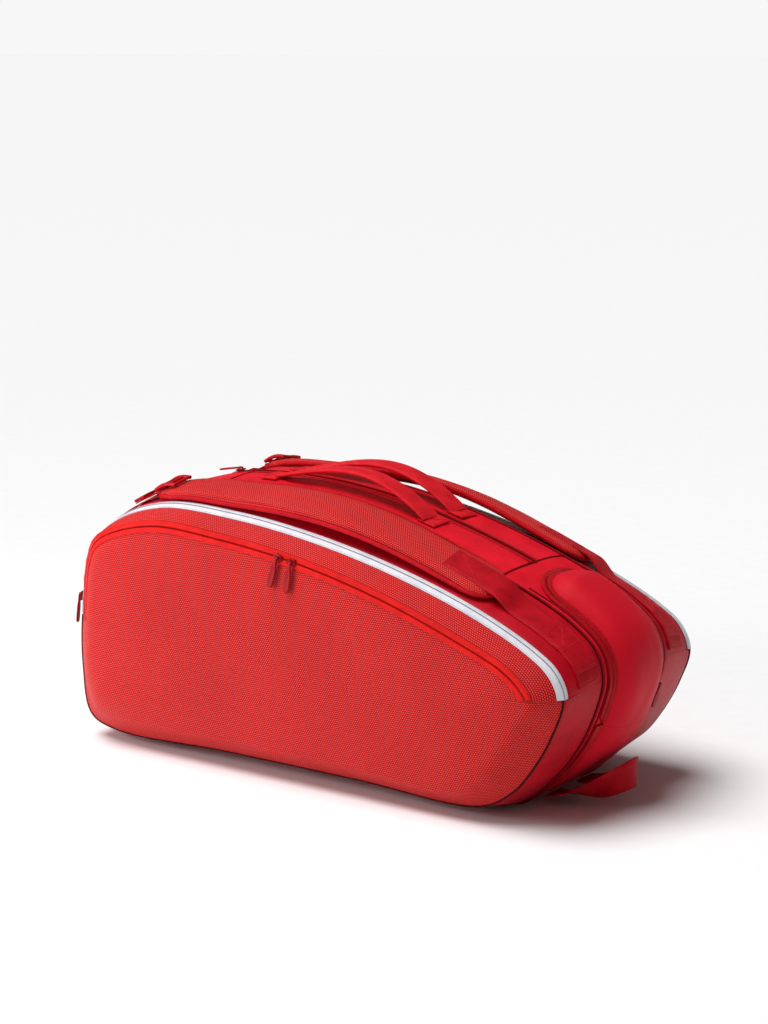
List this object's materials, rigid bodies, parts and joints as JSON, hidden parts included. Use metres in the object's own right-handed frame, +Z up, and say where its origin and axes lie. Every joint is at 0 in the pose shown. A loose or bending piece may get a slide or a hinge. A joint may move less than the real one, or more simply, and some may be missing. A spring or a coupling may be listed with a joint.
{
  "type": "racket bag",
  "caption": "Padded racket bag lying on its base: two racket compartments beside a gear compartment, with side pockets, an end pocket, backpack straps and carry handles.",
  "frame": {"origin": "middle of the bounding box's bottom face; the bag lies on its base panel", "axes": "+X towards the handle end, where the end pocket is; +Z up; the near racket compartment is on -Y"},
  "size_m": [0.7746, 0.3672, 0.3704],
  "materials": {
    "textured_fabric": "coarse basket weave in bright red",
    "smooth_fabric": "fine coated weave in darker red",
    "heather_fabric": "brushed two-tone red",
    "lining": "dark quilted lining",
    "white_zip_tape": "satin coated tape, off-white",
    "red_zip_tape": "coated tape in bright red",
    "webbing": "flat woven webbing, red",
    "moulded_plastic": "moulded red plastic",
    "pull_rubber": "soft moulded rubber, matt red"
  },
  "bodies": {
    "shell": {"base_panel": "textured_fabric", "head_end_panel": "smooth_fabric", "nose_frame": "smooth_fabric", "end_pocket_foot": "heather_fabric", "end_zip_frame": "red_zip_tape", "end_pocket_lining": "lining", "near_divider": "lining", "near_gusset": "smooth_fabric", "near_lower_band": "textured_fabric", "near_lower_front": "textured_fabric", "near_zip_tape_body": "white_zip_tape", "near_strap_webbing_nose": "webbing", "near_strap_webbing_head": "webbing", "far_divider": "lining", "far_gusset": "smooth_fabric", "far_lower_band": "textured_fabric", "far_lower_front": "textured_fabric", "far_zip_tape_body": "white_zip_tape", "far_strap_webbing_nose": "webbing", "far_strap_webbing_head": "webbing"},
    "near_lid": {"near_zip_tape_lid": "white_zip_tape", "near_lid_band": "textured_fabric", "near_lid_inner_panel": "lining", "near_pocket_zip_upper": "red_zip_tape"},
    "near_pocket": {"near_pocket_front": "textured_fabric", "near_pocket_zip_lower": "red_zip_tape"},
    "near_main_slider": {"near_main_slider": "moulded_plastic"},
    "near_main_pull": {"near_main_pull": "pull_rubber"},
    "near_pocket_slider_a": {"near_pocket_slider_a": "moulded_plastic"},
    "near_pocket_pull_a": {"near_pocket_pull_a": "pull_rubber"},
    "near_pocket_slider_b": {"near_pocket_slider_b": "moulded_plastic"},
    "near_pocket_pull_b": {"near_pocket_pull_b": "pull_rubber"},
    "near_strap_pad": {"near_strap_pad": "textured_fabric"},
    "near_adjuster": {"near_adjuster": "moulded_plastic"},
    "near_top_flap": {"near_top_flap": "smooth_fabric"},
    "near_carry_handle": {"near_carry_handle": "webbing"},
    "far_lid": {"far_zip_tape_lid": "white_zip_tape", "far_lid_band": "textured_fabric", "far_lid_inner_panel": "lining", "far_pocket_zip_upper": "red_zip_tape"},
    "far_pocket": {"far_pocket_front": "textured_fabric", "far_pocket_zip_lower": "red_zip_tape"},
    "far_main_slider": {"far_main_slider": "moulded_plastic"},
    "far_main_pull": {"far_main_pull": "pull_rubber"},
    "far_pocket_slider_a": {"far_pocket_slider_a": "moulded_plastic"},
    "far_pocket_pull_a": {"far_pocket_pull_a": "pull_rubber"},
    "far_pocket_slider_b": {"far_pocket_slider_b": "moulded_plastic"},
    "far_pocket_pull_b": {"far_pocket_pull_b": "pull_rubber"},
    "far_strap_pad": {"far_strap_pad": "textured_fabric"},
    "far_adjuster": {"far_adjuster": "moulded_plastic"},
    "far_top_flap": {"far_top_flap": "smooth_fabric"},
    "far_carry_handle": {"far_carry_handle": "webbing"},
    "top_slider": {"top_slider": "moulded_plastic"},
    "top_pull": {"top_pull": "pull_rubber"},
    "end_slider": {"end_slider": "moulded_plastic"},
    "end_pull": {"end_pull": "pull_rubber"},
    "grab_loop": {"grab_loop": "webbing"},
    "end_flap": {"end_pocket_flap": "heather_fabric", "end_zip_flap": "red_zip_tape"}
  },
  "joints": [
    {"name": "near_lid_open", "type": "hinge", "parent": "shell", "child": "near_lid", "pos_m": [0, -0.184, 0.16], "axis": [1, 0, 0], "range_deg": [0, 35]},
    {"name": "near_pocket_open", "type": "hinge", "parent": "near_lid", "child": "near_pocket", "pos_m": [0, -0.1835, 0.1603], "axis": [1, 0, 0], "range_deg": [0, 14]},
    {"name": "near_main_slider_slide", "type": "slide", "parent": "near_lid", "child": "near_main_slider", "axis": [0.128, 0, 0.9918], "range_m": [0, 0.035]},
    {"name": "near_main_pull_swing", "type": "hinge", "parent": "near_main_slider", "child": "near_main_pull", "pos_m": [-0.3748, -0.1475, 0.1844], "axis": [-0.3721, 0.927, 0.0476], "range_deg": [0, 90]},
    {"name": "near_pocket_slider_a_run", "type": "hinge", "parent": "near_pocket", "child": "near_pocket_slider_a", "pos_m": [-0.2138, -0.176, -0.947], "axis": [0, 1, 0], "range_deg": [-7, 0]},
    {"name": "near_pocket_pull_a_swing", "type": "hinge", "parent": "near_pocket_slider_a", "child": "near_pocket_pull_a", "pos_m": [-0.0278, -0.1811, 0.2831], "axis": [-1, 0, 0], "range_deg": [0, 100]},
    {"name": "near_pocket_slider_b_run", "type": "hinge", "parent": "near_pocket", "child": "near_pocket_slider_b", "pos_m": [-0.2138, -0.176, -0.947], "axis": [0, 1, 0], "range_deg": [0, 7]},
    {"name": "near_pocket_pull_b_swing", "type": "hinge", "parent": "near_pocket_slider_b", "child": "near_pocket_pull_b", "pos_m": [-0.0078, -0.1811, 0.2799], "axis": [-1, 0, 0], "range_deg": [0, 100]},
    {"name": "near_strap_lift", "type": "hinge", "parent": "shell", "child": "near_strap_pad", "pos_m": [0.24, -0.101, 0.266], "axis": [0, 1, 0], "range_deg": [0, 5]},
    {"name": "near_adjuster_tilt", "type": "hinge", "parent": "near_strap_pad", "child": "near_adjuster", "pos_m": [-0.2295, -0.1106, 0.3422], "axis": [0, 1, 0], "range_deg": [0, 30]},
    {"name": "near_top_flap_open", "type": "hinge", "parent": "shell", "child": "near_top_flap", "pos_m": [0.01, -0.064, 0.3235], "axis": [0.9897, 0, -0.143], "range_deg": [0, 28]},
    {"name": "near_carry_handle_swing", "type": "hinge", "parent": "near_top_flap", "child": "near_carry_handle", "pos_m": [-0.022, -0.0485, 0.336], "axis": [0.9945, 0, -0.105], "range_deg": [0, 10]},
    {"name": "far_lid_open", "type": "hinge", "parent": "shell", "child": "far_lid", "pos_m": [0, 0.184, 0.16], "axis": [-1, 0, 0], "range_deg": [0, 35]},
    {"name": "far_pocket_open", "type": "hinge", "parent": "far_lid", "child": "far_pocket", "pos_m": [0, 0.1835, 0.1603], "axis": [-1, 0, 0], "range_deg": [0, 14]},
    {"name": "far_main_slider_slide", "type": "slide", "parent": "far_lid", "child": "far_main_slider", "axis": [0.128, 0, 0.9918], "range_m": [0, 0.035]},
    {"name": "far_main_pull_swing", "type": "hinge", "parent": "far_main_slider", "child": "far_main_pull", "pos_m": [-0.3748, 0.1475, 0.1844], "axis": [0.3721, 0.927, -0.0476], "range_deg": [0, 90]},
    {"name": "far_pocket_slider_a_run", "type": "hinge", "parent": "far_pocket", "child": "far_pocket_slider_a", "pos_m": [-0.2138, 0.176, -0.947], "axis": [0, 1, 0], "range_deg": [-7, 0]},
    {"name": "far_pocket_pull_a_swing", "type": "hinge", "parent": "far_pocket_slider_a", "child": "far_pocket_pull_a", "pos_m": [-0.0278, 0.1811, 0.2831], "axis": [1, 0, 0], "range_deg": [0, 100]},
    {"name": "far_pocket_slider_b_run", "type": "hinge", "parent": "far_pocket", "child": "far_pocket_slider_b", "pos_m": [-0.2138, 0.176, -0.947], "axis": [0, 1, 0], "range_deg": [0, 7]},
    {"name": "far_pocket_pull_b_swing", "type": "hinge", "parent": "far_pocket_slider_b", "child": "far_pocket_pull_b", "pos_m": [-0.0078, 0.1811, 0.2799], "axis": [1, 0, 0], "range_deg": [0, 100]},
    {"name": "far_strap_lift", "type": "hinge", "parent": "shell", "child": "far_strap_pad", "pos_m": [0.24, 0.101, 0.266], "axis": [0, 1, 0], "range_deg": [0, 5]},
    {"name": "far_adjuster_tilt", "type": "hinge", "parent": "far_strap_pad", "child": "far_adjuster", "pos_m": [-0.2295, 0.1106, 0.3422], "axis": [0, 1, 0], "range_deg": [0, 30]},
    {"name": "far_top_flap_open", "type": "hinge", "parent": "shell", "child": "far_top_flap", "pos_m": [0.01, 0.064, 0.3235], "axis": [-0.9897, 0, 0.143], "range_deg": [0, 28]},
    {"name": "far_carry_handle_swing", "type": "hinge", "parent": "far_top_flap", "child": "far_carry_handle", "pos_m": [-0.022, 0.0485, 0.336], "axis": [-0.9945, 0, 0.105], "range_deg": [0, 10]},
    {"name": "top_slider_slide", "type": "slide", "parent": "near_top_flap", "child": "top_slider", "axis": [0.9879, 0, 0.155], "range_m": [0, 0.05]},
    {"name": "top_pull_swing", "type": "hinge", "parent": "top_slider", "child": "top_pull", "pos_m": [-0.2268, 0, 0.3439], "axis": [0, 1, 0], "range_deg": [0, 90]},
    {"name": "end_flap_open", "type": "hinge", "parent": "shell", "child": "end_flap", "pos_m": [0.3677, 0, 0.1088], "axis": [0, 1, 0], "range_deg": [0, 45]},
    {"name": "end_slider_slide", "type": "slide", "parent": "end_flap", "child": "end_slider", "axis": [0.3129, 0, 0.9498], "range_m": [0, 0.03]},
    {"name": "end_pull_swing", "type": "hinge", "parent": "end_slider", "child": "end_pull", "pos_m": [0.3644, 0.0562, 0.1359], "axis": [0, -1, 0], "range_deg": [0, 90]},
    {"name": "grab_loop_lift", "type": "hinge", "parent": "shell", "child": "grab_loop", "pos_m": [0.2752, 0, 0.011], "axis": [0, -1, 0], "range_deg": [0, 8]}
  ]
}
